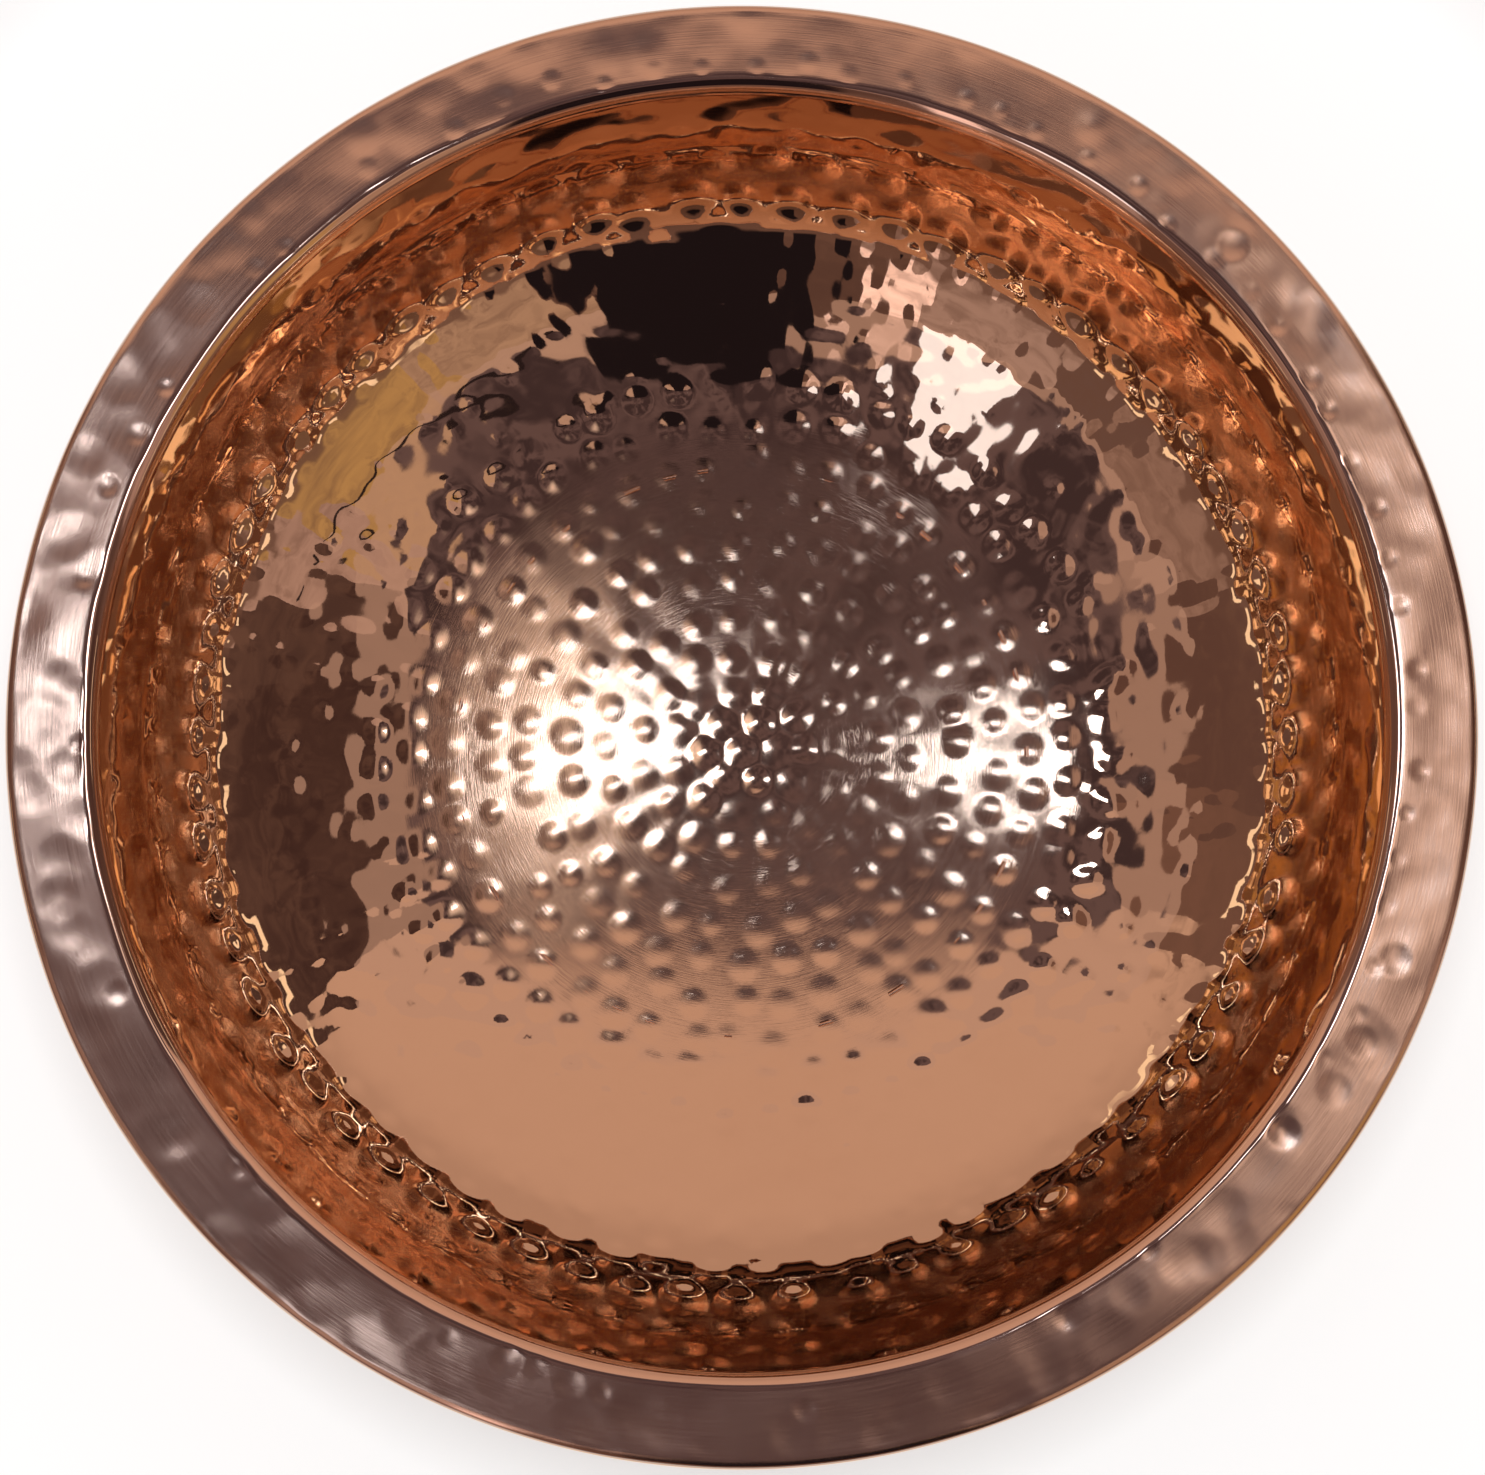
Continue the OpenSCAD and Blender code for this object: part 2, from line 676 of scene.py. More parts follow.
def stepped(start: float, end: float, spacing: Callable[[float], float]) -> Array:
    """Places from start to end with a spacing that may change on the way.

    Args:
        start: first place.
        end: last place.
        spacing: wanted gap at a place.

    Returns:
        The places, ends included.
    """
    places = [start]
    while places[-1] + spacing(places[-1]) < end:
        places.append(places[-1] + spacing(places[-1]))
    places.append(end)
    return np.array(places)


# --- Bowl shell ---


@dataclass
class Sheetwork:
    """Sizes that the shell and the rim share; the rim's outside and top are read from the CAD box, the rest
    are given.
    """

    sheet: float = 1.2 * MM
    mouth_bend: float = 3.8 * MM
    lip_depth: float = 6.5 * MM
    rim_width: float = 25 * MM
    wire_radius: float = 1.6 * MM
    rim_radius: float = field(init=False)
    top: float = field(init=False)

    def __post_init__(self) -> None:
        """Reads the rim's outside and top from the CAD box."""
        _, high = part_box("rim_ring")
        self.rim_radius = float(high.x)
        self.top = float(high.z)

    @property
    def collar(self) -> float:
        """Inside radius of the shell at the mouth."""
        return self.rim_radius - self.rim_width + self.sheet

    @property
    def bend_centre(self) -> tuple[float, float]:
        """Centre of the nested bends at the mouth."""
        return self.collar + self.mouth_bend - self.sheet, self.top - self.mouth_bend


@dataclass
class Dish:
    """The inside curve of the shell by length from the middle of the floor: floor, knee and wall."""

    work: Sheetwork
    wall_depth: float = 40 * MM
    wall_slope: float = math.radians(86)
    knee_radius: float = 56 * MM
    floor_slope: float = math.radians(24)
    collar_below_lip: float = 1.5 * MM

    def __post_init__(self) -> None:
        """Works out where each stretch starts."""
        work = self.work
        self.collar_z = work.top - work.lip_depth - self.collar_below_lip
        knee_z = work.top - self.wall_depth
        self.wall_run = (self.collar_z - knee_z) / math.sin(self.wall_slope)
        knee_top = work.collar - (self.collar_z - knee_z) / math.tan(self.wall_slope)
        self.knee_c = (
            knee_top - self.knee_radius * math.sin(self.wall_slope),
            knee_z + self.knee_radius * math.cos(self.wall_slope),
        )
        edge = self.knee_c[0] + self.knee_radius * math.sin(self.floor_slope)
        self.floor_radius = edge / math.sin(self.floor_slope)
        edge_z = self.knee_c[1] - self.knee_radius * math.cos(self.floor_slope)
        self.floor_c = edge_z + self.floor_radius * math.cos(self.floor_slope)
        self.floor_run = self.floor_radius * self.floor_slope
        self.knee_run = self.knee_radius * (self.wall_slope - self.floor_slope)
        self.length = self.floor_run + self.knee_run + self.wall_run

    def slope(self, along: Array) -> Array:
        """Slope at a length along the curve.

        Args:
            along: lengths from the middle of the floor.

        Returns:
            Slopes from level, in radians.
        """
        on_floor = along / self.floor_radius
        on_knee = self.floor_slope + (along - self.floor_run) / self.knee_radius
        slope = np.where(along < self.floor_run, on_floor, on_knee)
        return np.minimum(slope, self.wall_slope)

    def point(self, along: Array) -> tuple[Array, Array]:
        """Distance from the axis and height at a length along the curve.

        Args:
            along: lengths from the middle of the floor.

        Returns:
            Distances and heights.
        """
        slope = self.slope(along)
        past = along - self.floor_run - self.knee_run
        floor = (self.floor_radius * np.sin(slope), self.floor_c - self.floor_radius * np.cos(slope))
        wall = np.maximum(past, 0)
        knee = (
            self.knee_c[0] + self.knee_radius * np.sin(slope) + wall * math.cos(self.wall_slope),
            self.knee_c[1] - self.knee_radius * np.cos(slope) + wall * math.sin(self.wall_slope),
        )
        on_floor = along < self.floor_run
        return np.where(on_floor, floor[0], knee[0]), np.where(on_floor, floor[1], knee[1])

    def along_knee(self, degrees: float) -> float:
        """Length along the curve at which the knee has a slope in degrees."""
        return self.floor_run + (math.radians(degrees) - self.floor_slope) * self.knee_radius


@dataclass
class BowlShell:
    """The dished shell, one hammered sheet from the middle of the floor to the flange under the rim."""

    work: Sheetwork
    dish: Dish
    flange: float = 10 * MM
    floor_spacing: float = 1.28 * MM
    floor_end: float = 122 * MM
    knee_spacing: float = 1.49 * MM
    wall_spacing: float = 2.2 * MM
    outside_spacing: float = 3.7 * MM
    clear: float = 0.05 * MM
    seed: int = 11

    def hammer(self) -> HammerWork:
        """Lays out the dents.

        Returns:
            The hammer work over the whole dish.
        """
        work = HammerWork(self.seed, lambda s: self.dish.point(s)[0])
        dish = self.dish
        work.strike(0, 0, 6.4 * MM, 0.50 * MM, 1.4)
        work.row(10.8 * MM, 6, 6.0 * MM, 0.46 * MM, 0.07, edge=1.4)
        work.row(20.6 * MM, 11, 5.4 * MM, 0.36 * MM, 0.09, edge=1.4)
        for i in range(8):
            along = (31.5 + 12.5 * i) * MM
            count = round(2 * math.pi * along / (13.4 * MM))
            work.row(along, count, 4.9 * MM, 0.29 * MM, 0.09, 0.97, turn=0.37 * i, edge=1.3)
        for i, along in enumerate((127, 136, 145, 153)):
            work.row(along * MM, 58, 2.9 * MM, 0.12 * MM, 0.24, 0.5, turn=0.41 * i)
        for i in range(7):
            along = (108 + 7.6 * i) * MM
            count = round(2 * math.pi * float(dish.point(np.array([along]))[0][0]) / (12.5 * MM))
            work.row(along, count, 7.0 * MM, 0.12 * MM, 0.3, 0.85, edge=1.6)
        for i, (degrees, depth) in enumerate(((23, 0.13), (29, 0.13), (36, 0.16))):
            work.row(dish.along_knee(degrees), 70, 4.2 * MM, depth * MM, 0.2, 0.75, turn=0.45 * i, edge=1.4)
        work.row(dish.along_knee(46), 64, 5.8 * MM, 0.42 * MM, 0.09, 0.95, turn=0.5, edge=1.3)
        work.row(dish.along_knee(58), 64, 7.0 * MM, 0.90 * MM, 0.06, edge=1.25)
        work.row(dish.along_knee(74), 64, 6.6 * MM, 0.60 * MM, 0.07, turn=0.5, edge=1.25)
        for i, (above, depth) in enumerate(((7, 0.10), (18, 0.04))):
            along = dish.floor_run + dish.knee_run + above * MM
            work.row(along, 64, 6.0 * MM, depth * MM, 0.14, turn=0.4 * i, edge=1.8)
        work.wave(70 * MM, 0.025 * MM, 8)
        return work

    def build(self) -> bpy.types.Object:
        """Makes the mesh: inside, flange and outside as one closed sheet.

        Returns:
            The shell.
        """
        hammer = self.hammer()
        mesh = SheetMesh("hammered_shell")
        dish, work = self.dish, self.work
        lasting = dish.length - 3 * MM

        def spacing(along: float) -> float:
            """Gap between vertices on the inside, round the ring."""
            return self.floor_spacing if along < self.floor_end else self.knee_spacing

        def step(along: float) -> float:
            """Gap between rings on the inside."""
            return self.wall_spacing if along > dish.floor_run + dish.knee_run else spacing(along)

        for along in stepped(0.0, dish.length, step):
            self._face(mesh, hammer, along, 0.0, lasting, spacing(along))
        bend_x, bend_z = work.bend_centre
        bend_z -= self.clear
        inner = work.mouth_bend - work.sheet - self.clear
        fine = segments_at(work.collar, self.knee_spacing)
        rough = segments_at(work.collar, self.outside_spacing)
        for distance, height, *_ in bend_rows((bend_x, bend_z), inner, (180, 157, 135, 112, 90)):
            self._level(mesh, distance, height, fine)
        flange_end = work.collar + self.flange
        self._level(mesh, flange_end, bend_z + inner, fine)
        outer = inner - work.sheet
        self._level(mesh, flange_end, bend_z + outer, rough)
        for distance, height, *_ in bend_rows((bend_x, bend_z), outer, (90, 135, 180)):
            self._level(mesh, distance, height, rough)
        places = stepped(0.0, dish.length, lambda _: self.outside_spacing)
        for along in places[::-1]:
            self._face(mesh, hammer, along, work.sheet, lasting, self.outside_spacing)
        return mesh.build(loop=False)

    def _level(self, mesh: SheetMesh, distance: float, height: float, count: int) -> None:
        """Adds a true ring."""
        mesh.ring(np.full(count, distance), np.full(count, height))

    def _face(
        self,
        mesh: SheetMesh,
        hammer: HammerWork,
        along: float,
        outside: float,
        lasting: float,
        spacing: float,
    ) -> None:
        """Adds one hammered ring of the dish.

        Args:
            mesh: the mesh that takes the ring.
            hammer: the dents.
            along: length along the inside curve.
            outside: 0 for the inside face, the sheet's thickness for the outside face.
            lasting: length past which the hammering fades to the true collar.
            spacing: wanted distance between vertices.
        """
        place = np.array([along])
        slope = float(self.dish.slope(place)[0])
        distance, height = (float(v[0]) for v in self.dish.point(place))
        count = segments_at(distance, spacing) if along > 0 else 1
        angles = even_angles(count)
        fade = float(np.clip((self.dish.length - along) / (self.dish.length - lasting), 0, 1))
        move = hammer.rise(along, distance, angles) * fade - outside
        mesh.ring(distance - math.sin(slope) * move, height + math.cos(slope) * move)


# --- Rim ---


@dataclass
class RimRing:
    """The wide rim: a lip turned down into the mouth, the flat, and an edge rolled round the wire."""

    work: Sheetwork
    spacing: float = 0.9 * MM
    most: int = 1152
    roll_end: float = -170.0
    roll_steps: int = 20
    seed: int = 23

    def outline(self) -> list[Row]:
        """The top face from the lip's lower edge to the end of the roll."""
        work = self.work
        bend_x, bend_z = work.bend_centre
        lip = work.collar - work.sheet
        low = work.top - work.lip_depth
        rows = [(lip, low + t * (bend_z - low), -1.0, 0.0) for t in (0.0, 0.3, 0.65)]
        rows += bend_rows((bend_x, bend_z), work.mouth_bend, np.linspace(180, 90, 11))
        centre_x, centre_z = self.wire_centre
        steps = round((centre_x - bend_x) / self.spacing)
        for i in range(1, steps):
            rows.append((bend_x + (centre_x - bend_x) * i / steps, work.top, 0.0, 1.0))
        radius = work.wire_radius + work.sheet
        turns = np.linspace(90, self.roll_end, self.roll_steps)
        return rows + bend_rows((centre_x, centre_z), radius, turns)

    @property
    def wire_centre(self) -> tuple[float, float]:
        """Centre of the wire in the roll."""
        low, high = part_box("rim_wire")
        return float(high.x) - self.work.wire_radius, float(low.z + high.z) / 2

    def hammer(self) -> HammerWork:
        """Lays out the dents; a place along the flat is simply the distance from the axis.

        Returns:
            The hammer work over the flat of the rim.
        """
        work = HammerWork(self.seed, lambda s: s)

        def right_side(angle: float) -> float:
            """Chance of a small dent: nearly sure on the right and at the upper right."""
            return 0.95 if angle < math.radians(110) or angle > math.radians(325) else 0.5

        def low_side(angle: float) -> float:
            """Chance of a heavy dent: only low on the right and at the bottom."""
            at = math.degrees(angle)
            return 0.85 if 318 < at < 334 or 249 < at < 268 else 0.06

        work.row(185.0 * MM, 81, 3.0 * MM, 0.19 * MM, 0.1, right_side)
        work.row(187.0 * MM, 66, 4.6 * MM, 0.30 * MM, 0.14, low_side)
        work.row(188.5 * MM, 70, 7.5 * MM, 0.17 * MM, 0.25, edge=1.8)
        work.row(196.5 * MM, 70, 7.5 * MM, 0.17 * MM, 0.25, turn=0.5, edge=1.8)
        work.row(193.5 * MM, 60, 4.4 * MM, 0.06 * MM, 0.35, 0.5, edge=1.5)
        work.wave(30 * MM, 0.08 * MM, 12)
        return work

    def build(self) -> bpy.types.Object:
        """Makes the mesh: top face, then the same rows back as the underside.

        Returns:
            The rim.
        """
        work = self.work
        hammer = self.hammer()
        mesh = SheetMesh("hammered_rim")
        rows = self.outline()
        bend_x, _ = work.bend_centre
        centre_x, _ = self.wire_centre
        shift = 0.03 * MM

        def add(row: Row, under: float, count: int) -> None:
            """Adds one ring, pressed by the hammer on the flat and left true on the bends."""
            distance, height, out_x, out_z = row
            angles = even_angles(count)
            past_bend = (distance - bend_x + 2 * MM) / (2.5 * MM)
            before_roll = (centre_x + 2 * MM - distance) / (3 * MM)
            full = max(min(past_bend, before_roll), 0)
            move = hammer.rise(distance, distance, angles) * min(full, 1) * max(out_z, 0) ** 2 - under
            mesh.ring(distance + out_x * move, height - shift + out_z * move)

        for row in rows:
            add(row, 0.0, self.most)
        for row in rows[::-2]:
            add(row, work.sheet, self.most // 2)
        return mesh.build(loop=True)


# --- Foot ---


@dataclass
class FootRing:
    """The strip ring under the floor: a leaning band with its bottom edge turned in flat."""

    thickness: float = 1.5 * MM
    lean: float = 5 * MM
    lip: float = 9 * MM
    corner: float = 2.5 * MM
    tuck: float = 0.5 * MM
    rows: int = 13
    count: int = 384
    seed: int = 37

    def build(self) -> bpy.types.Object:
        """Makes the mesh.

        Returns:
            The foot ring.
        """
        _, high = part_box("foot_ring")
        radius = float(high.x)
        top_z = float(high.z) + self.tuck
        top_distance = radius - self.lean
        lift = top_z - self.corner
        slant = math.atan2(lift, self.lean)
        rows = [(radius - self.lip, 0.0, 0.0, -1.0), (radius - self.corner - 2 * MM, 0.0, 0.0, -1.0)]
        turns = np.linspace(-90, 90 - math.degrees(slant), 8)
        rows += bend_rows((radius - self.corner, self.corner), self.corner, turns)
        start = rows[-1]
        for i in range(1, self.rows + 1):
            share = i / self.rows
            distance = start[0] + (top_distance - start[0]) * share
            rows.append((distance, start[1] + (top_z - start[1]) * share, start[2], start[3]))
        hammer = HammerWork(self.seed, lambda s: np.full_like(s, radius))
        for i, height in enumerate((5.5, 13.0)):
            hammer.row(height * MM, 46, 5.6 * MM, 0.12 * MM, 0.2, turn=0.5 * i)
        mesh = SheetMesh("foot_band")
        angles = even_angles(self.count)

        def add(row: Row, under: float) -> None:
            """Adds one ring, hammered on the band."""
            distance, height, out_x, out_z = row
            share = max(out_x, 0.0) ** 2
            move = hammer.rise(height, radius, angles) * share - under
            mesh.ring(distance + out_x * move, height + out_z * move)

        for row in rows:
            add(row, 0.0)
        for row in rows[::-1]:
            add(row, self.thickness)
        return mesh.build(loop=True)


# --- Studio ---


@dataclass(frozen=True)
class Sector:
    """A stretch of the studio wall between two angles, with its own colour."""

    start: float
    colour: Colour


@dataclass(frozen=True)
class Lamp:
    """A soft square lamp over the bowl, placed by how far it leans from straight up."""

    name: str
    lean_x: float
    lean_y: float
    width: float
    depth: float
    power: float
    height: float = 1.8


@dataclass
class Studio:
    """Pale floor that glows, with a painted shadow under the bowl and a painted pool of light round it, soft
    lamps, and a plain room round the bowl for the copper to mirror.
    """

    ceiling: Colour = (0.125, 0.080, 0.082)
    ceiling_dark: Colour = (0.050, 0.031, 0.034)
    ceiling_low: tuple[float, float] = (-0.60, -0.50)
    ceiling_high: tuple[float, float] = (0.48, 0.42)
    glow: Colour = (1.0, 0.76, 0.65)
    glow_at: tuple[float, float] = (0.26, 0.09)
    glow_size: tuple[float, float] = (0.11, 0.26)
    cornice: Colour = (0.5, 0.329, 0.272)
    cornice_depth: float = 0.12
    low_wall: Colour = (0.14, 0.0757, 0.0582)
    beam: Colour = (0.02, 0.0125, 0.0136)
    beam_from: tuple[float, float] = (0.30, -0.50)
    beam_to: tuple[float, float] = (0.85, -0.22)
    beam_width: float = 0.022
    strip: Colour = (1.05, 0.78, 0.54)
    strip_lean: tuple[float, float] = (3.0, 3.7)
    strip_windows: int = 14
    curtain: Colour = (0.012, 0.008, 0.010)
    curtain_angles: tuple[float, float] = (260.0, 294.0)
    curtain_start: float = 0.45
    backdrop: Colour = (0.545, 0.52, 0.505)
    floor_size: float = 60.0
    # Painted light on the floor: a lighter base colour near the bowl that fades darker farther out, and an
    # emission ramp by distance that paints a shadow under the bowl and a pool of light round it.
    floor_near: Colour = (0.80, 0.80, 0.80)
    floor_far: Colour = (0.60, 0.61, 0.62)
    floor_painted_falloff: tuple[float, float] = (0.33, 0.5)
    floor_tint: Colour = (0.94, 1.0, 1.02)
    floor_glow_and_painted_shadow: tuple[tuple[float, float], ...] = (
        (0.08, 0.02),
        (0.17, 0.12),
        (0.25, 0.95),
        (0.345, 1.0),
        (0.47, 0.52),
        (0.90, 0.47),
    )
    lamp_colour: Colour = (0.95, 1.0, 1.15)
    lamps: tuple[Lamp, ...] = (
        Lamp("lamp_left", -0.35, 0.125, 0.14, 0.26, 0.6),
        Lamp("lamp_over", 0.15, 0.09, 0.15, 0.38, 0.66),
        Lamp("lamp_front", -0.31, -0.38, 0.22, 0.36, 0.26),
    )
    sectors: tuple[Sector, ...] = (
        Sector(0, (0.05, 0.0249, 0.0223)),
        Sector(37, (0.55, 0.347, 0.262)),
        Sector(147, (0.17, 0.089, 0.0679)),
        Sector(165, (0.11, 0.0579, 0.0485)),
        Sector(192, (0.3, 0.187, 0.155)),
        Sector(212, (0.14, 0.0801, 0.0679)),
        Sector(226, (0.4, 0.267, 0.233)),
        Sector(244, (1.3, 0.935, 0.873)),
        Sector(250, (0.1, 0.0534, 0.0436)),
        Sector(294, (0.43, 0.276, 0.194)),
        Sector(314, (0.47, 0.285, 0.116)),
        Sector(338, (0.44, 0.285, 0.242)),
        Sector(350, (0.07, 0.0374, 0.032)),
    )

    def build(self) -> None:
        """Makes the floor, the world and the lamps."""
        self._floor()
        self._world()
        for lamp in self.lamps:
            self._lamp(lamp)

    def _floor(self) -> None:
        """Makes the pale floor that the bowl stands on; it glows, with a painted shadow under the bowl and a
        painted pool of light round it that fades darker farther out.
        """
        half = self.floor_size / 2
        mesh = bpy.data.meshes.new("floor")
        corners = [(-half, -half, 0), (half, -half, 0), (half, half, 0), (-half, half, 0)]
        mesh.from_pydata(corners, [], [(0, 1, 2, 3)])
        made = bpy.data.objects.new("floor", mesh)
        bpy.context.scene.collection.objects.link(made)
        material = bpy.data.materials.new("pale_floor")
        material.use_nodes = True
        nodes = NodeTree(material.node_tree)
        _, x, y, _ = nodes.place()
        reach = (x * x + y * y).root()
        tint = self.floor_tint
        stops = [(place, tuple(level * part for part in tint)) for place, level in self.floor_glow_and_painted_shadow]
        # Painted light: the base colour fades darker away from the bowl; the emission paints a shadow under
        # the bowl and a pool of light round it.
        shader = {
            "Base Color": nodes.blend(reach.rise(*self.floor_painted_falloff), self.floor_near, self.floor_far),
            "Roughness": 0.9,
            "Emission Color": nodes.ramp(reach, stops),
            "Emission Strength": 0.84,
        }
        surface = nodes.add("ShaderNodeBsdfPrincipled", {}, shader)
        nodes.add("ShaderNodeOutputMaterial", {}, {0: surface})
        mesh.materials.append(material)

    def _world(self) -> None:
        """Makes the room that the copper mirrors, and a pale backdrop for the camera."""
        world = bpy.data.worlds.new("studio")
        world.use_nodes = True
        nodes = NodeTree(world.node_tree)
        ray = nodes.add("ShaderNodeTexCoord", output="Generated")
        x, y, z = ray.parts()
        rise = z.at_least(0.02)
        lean_x = x / rise
        lean_y = y / rise
        turn = (y.angle_of(x) / (2 * math.pi) + 1.0).fraction()
        past_x = (lean_x - self.ceiling_high[0]).at_least(self.ceiling_low[0] - lean_x)
        past_y = (lean_y - self.ceiling_high[1]).at_least(self.ceiling_low[1] - lean_y)
        beyond = past_x.at_least(past_y)
        ceiling = self._ceiling(ray, lean_x, lean_y)
        wall = self._wall(ray, lean_x, lean_y, turn, beyond)
        room = nodes.blend(beyond.rise(-0.01, 0.01), ceiling, wall)
        room = nodes.blend(self._beam(lean_x, lean_y), room, self.beam)
        room = nodes.blend(self._curtain(turn, lean_y), room, self.curtain)
        seen = nodes.add("ShaderNodeLightPath", output="Is Camera Ray")
        colour = nodes.blend(seen, room, self.backdrop)
        light = nodes.add("ShaderNodeBackground", {}, {0: colour, 1: 1.0})
        nodes.add("ShaderNodeOutputWorld", {}, {0: light})
        bpy.context.scene.world = world

    def _ceiling(self, ray: Val, lean_x: Val, lean_y: Val) -> Val:
        """The mottled ceiling with a soft glow on it.

        Args:
            ray: the direction.
            lean_x, lean_y: how far it leans from straight up, to the right and to the back.

        Returns:
            The colour.
        """
        nodes = ray.nodes
        glow_x = (lean_x - self.glow_at[0]) / self.glow_size[0]
        glow_y = (lean_y - self.glow_at[1]) / self.glow_size[1]
        glowing = (glow_x * glow_x + glow_y * glow_y).root().rise(1.3, 0.3)
        boards = nodes.noise(ray, 11.0, 2.0, 0.5).rise(0.38, 0.62)
        return nodes.blend(glowing, nodes.blend(boards, self.ceiling_dark, self.ceiling), self.glow)

    def _wall(self, ray: Val, lean_x: Val, lean_y: Val, turn: Val, beyond: Val) -> Val:
        """The walls: sectors, worn and darker towards the floor, with a cornice and a row of windows.

        Args:
            ray: the direction.
            lean_x, lean_y: how far it leans from straight up, to the right and to the back.
            turn: its angle round the bowl, in turns.
            beyond: how far it leans past the ceiling's edge.

        Returns:
            The colour.
        """
        nodes = ray.nodes
        wall = nodes.ramp(turn, [(s.start / 360, s.colour) for s in self.sectors], Steps.SHARP)
        worn = nodes.noise(ray, 7.0, 3.0, 0.6).rise(0.35, 0.75)
        calm = (lean_y - lean_x.size() * 0.75).rise(-0.05, 0.05)
        wall = nodes.blend(worn * (1 - calm) * 0.55, wall, self.low_wall)
        wall = nodes.blend(beyond.rise(0.05, 2.2) * 0.22, wall, self.low_wall)
        wall = nodes.blend(beyond.rise(1.6, 2.0) * lean_y.rise(0.15, -0.3) * 0.8, wall, self.low_wall)
        reach = (lean_x * lean_x + lean_y * lean_y).root()
        window = (turn * self.strip_windows).fraction().rise(0.5, 0.45)
        near, far = self.strip_lean
        strip = reach.rise(near, near + 0.05) * window * reach.rise(far, far - 0.05)
        wall = nodes.blend(strip * (lean_y.size() - lean_x.size()).rise(0.6, -0.2), wall, self.strip)
        cornice = beyond.rise(self.cornice_depth, 0.9 * self.cornice_depth)
        return nodes.blend(cornice * 0.6, wall, self.cornice)

    def _curtain(self, turn: Val, lean_y: Val) -> Val:
        """Where a dark curtain hangs at the front: 1 on it, 0 off it."""
        first, last = (angle / 360 for angle in self.curtain_angles)
        sides = turn.rise(first - 0.002, first) * turn.rise(last + 0.002, last)
        return sides * lean_y.rise(-self.curtain_start, -self.curtain_start - 0.02) * lean_y.rise(-3.6, -3.0)

    def _beam(self, lean_x: Val, lean_y: Val) -> Val:
        """Where a dark beam crosses the corner of the ceiling.

        Args:
            lean_x, lean_y: how far a direction leans from straight up.

        Returns:
            1 on the beam, 0 off it.
        """
        start = Vector(self.beam_from)
        run = Vector(self.beam_to) - start
        reach = run.length
        run.normalize()
        out_x = lean_x - start.x
        out_y = lean_y - start.y
        along = out_x * run.x + out_y * run.y
        aside = (out_y * run.x - out_x * run.y).size()
        within = along.rise(0.0, 0.01) * along.rise(reach, reach - 0.01)
        return aside.rise(self.beam_width, self.beam_width * 0.8) * within

    def _lamp(self, lamp: Lamp) -> None:
        """Hangs one lamp over the bowl, facing it.

        Args:
            lamp: its lean, size and power.
        """
        data = bpy.data.lights.new(lamp.name, "AREA")
        data.shape = "RECTANGLE"
        data.size = lamp.width
        data.size_y = lamp.depth
        data.energy = lamp.power
        data.color = self.lamp_colour
        made = bpy.data.objects.new(lamp.name, data)
        made.location = (lamp.lean_x * lamp.height, lamp.lean_y * lamp.height, lamp.height)
        made.rotation_euler = (-Vector(made.location)).to_track_quat("-Z", "Y").to_euler()
        made.visible_camera = False
        bpy.context.scene.collection.objects.link(made)


@dataclass
class OverheadCamera:
    """The camera over the bowl, leaning a little to the front, with the rim filling the picture."""

    work: Sheetwork
    away: float = 3.1
    lean: float = math.radians(6.6)
    fill: float = 0.4980
    centre_x: float = 0.4995
    centre_y: float = 0.4998
    sensor: float = 36.0

    def build(self) -> None:
        """Makes the camera and chooses it."""
        radius = self.work.rim_radius
        reach = self.away * radius
        side = math.sqrt(reach**2 - (radius * math.sin(self.lean)) ** 2)
        focal = self.fill * side / radius
        low, high = (self._up(end * radius, reach) * focal for end in (-1, 1))
        data = bpy.data.cameras.new("camera")
        data.sensor_width = self.sensor
        data.lens = focal * self.sensor
        data.shift_x = 0.5 - self.centre_x
        data.shift_y = (low + high) / 2 - (0.5 - self.centre_y) * IMAGE_HEIGHT / IMAGE_WIDTH
        data.dof.use_dof = False
        made = bpy.data.objects.new("camera", data)
        back = Vector((0, -math.sin(self.lean), math.cos(self.lean)))
        made.location = Vector((0, 0, self.work.top)) + back * reach
        made.rotation_euler = (self.lean, 0, 0)
        bpy.context.scene.collection.objects.link(made)
        bpy.context.scene.camera = made

    def _up(self, y: float, reach: float) -> float:
        """Height in the picture of a point on the rim's middle line, per unit of focal length."""
        return y * math.cos(self.lean) / (reach + y * math.sin(self.lean))


def settle_view() -> None:
    """Sets the view transform and the light's bounces for copper that mirrors itself."""
    scene = bpy.context.scene
    scene.view_settings.view_transform = "Standard"
    scene.cycles.glossy_bounces = 10
    scene.cycles.max_bounces = 12


# --- Bench ---


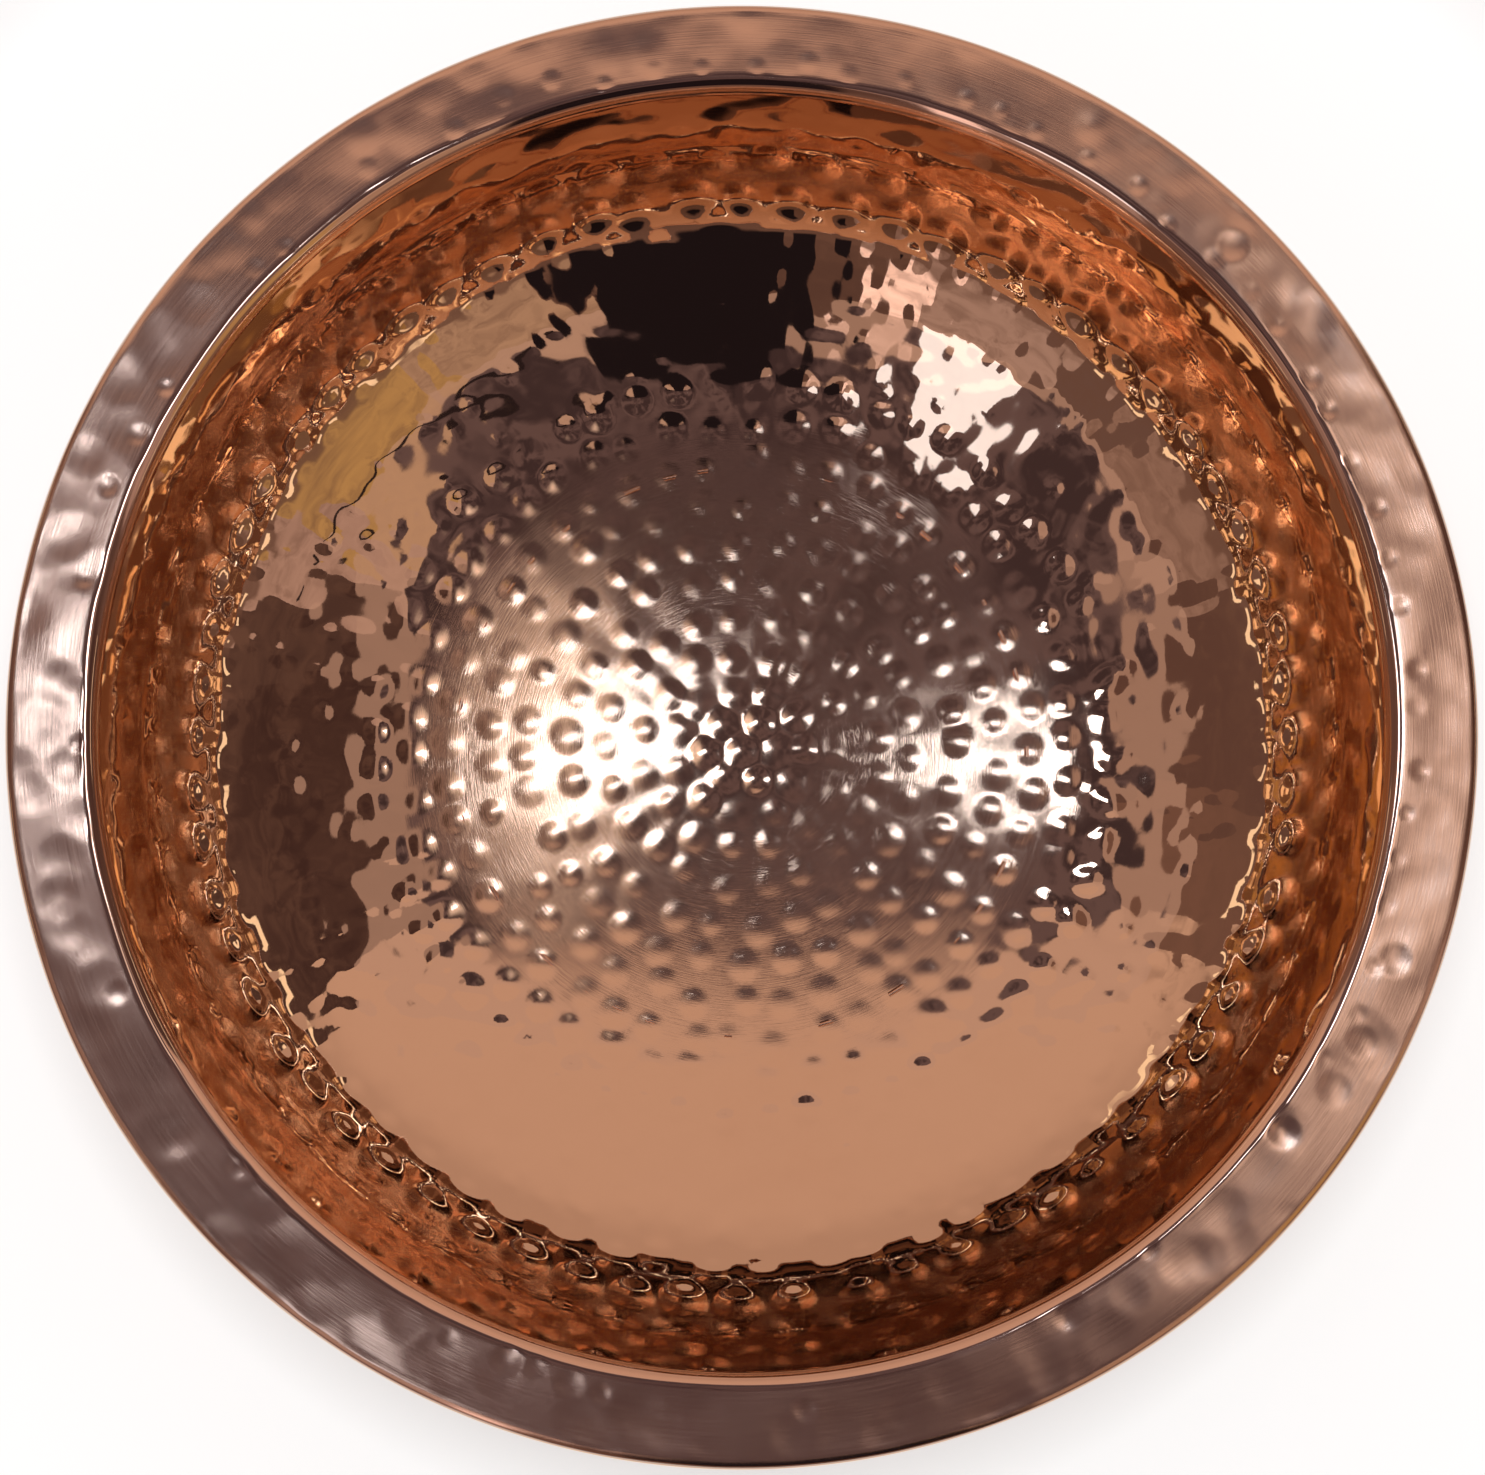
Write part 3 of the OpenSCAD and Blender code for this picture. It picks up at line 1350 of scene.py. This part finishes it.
def fit(piece: bpy.types.Object, finish: CopperFinish, nodes: Iterable[str]) -> None:
    """Dresses a piece and puts it on the frame.

    Args:
        piece: the new mesh.
        finish: its metal.
        nodes: the CAD nodes that it stands for.
    """
    piece.data.materials.append(finish.material())
    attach(piece, BODY)
    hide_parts(*nodes)
    log.info("%s: %d vertices, %d faces", piece.name, len(piece.data.vertices), len(piece.data.polygons))


def dress_cad(node: str, finish: PlainMetalFinish) -> None:
    """Gives a carried-over CAD node its metal.

    Args:
        node: the node's name.
        finish: its metal.
    """
    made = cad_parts[node]
    made.data.materials.clear()
    made.data.materials.append(finish.material())
    log.info("%s: %s", node, finish.name)


SHELL_COPPER = CopperFinish(
    name="shell_copper",
    roughness=0.035,
    cloud=0.01,
    scratches=0.015,
    zones=(
        Zone(0.0, 0.088, 0.11, 0.95, 0.026),
        Zone(0.0, 0.012, 0.09, 0.15, 0.022),
    ),
    # Painted shade on the back of the inside wall.
    painted_back_shade_amount=0.9,
    outside=(0.93, 0.63, 0.46),
)
RIM_COPPER = CopperFinish(
    name="rim_copper",
    colour=(0.95, 0.70, 0.55),
    stain=(0.82, 0.54, 0.41),
    roughness=0.20,
    cloud=0.05,
    scratches=0.8,
    zones=(
        Zone(0.0, 0.1815, 0.07, 0.05, 0.0012),
        Zone(0.2015, 0.21, 0.12, 0.1, 0.001),
    ),
)
FOOT_COPPER = CopperFinish(
    name="foot_copper",
    colour=(0.93, 0.63, 0.46),
    roughness=0.2,
    cloud=0.05,
    scratches=0.4,
)
WIRE_STEEL = PlainMetalFinish("wire_steel", (0.60, 0.61, 0.63), (0.36, 0.36, 0.37), 0.35)
SOLDER = PlainMetalFinish("soft_solder", (0.66, 0.66, 0.64), (0.42, 0.42, 0.40), 0.45)


def main() -> None:
    """Builds the camera, the studio and every piece of the bowl."""
    logging.basicConfig(level=logging.INFO, format="%(name)s: %(message)s")
    work = Sheetwork()
    dish = Dish(work)
    settle_view()
    OverheadCamera(work).build()
    Studio().build()
    fit(BowlShell(work, dish).build(), SHELL_COPPER, ["bowl_shell"])
    fit(RimRing(work).build(), RIM_COPPER, ["rim_ring"])
    fit(FootRing().build(), FOOT_COPPER, ["foot_ring"])
    dress_cad("rim_wire", WIRE_STEEL)
    dress_cad("rim_solder", SOLDER)
    dress_cad("foot_solder", SOLDER)


if __name__ == "__main__":
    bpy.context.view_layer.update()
    main()
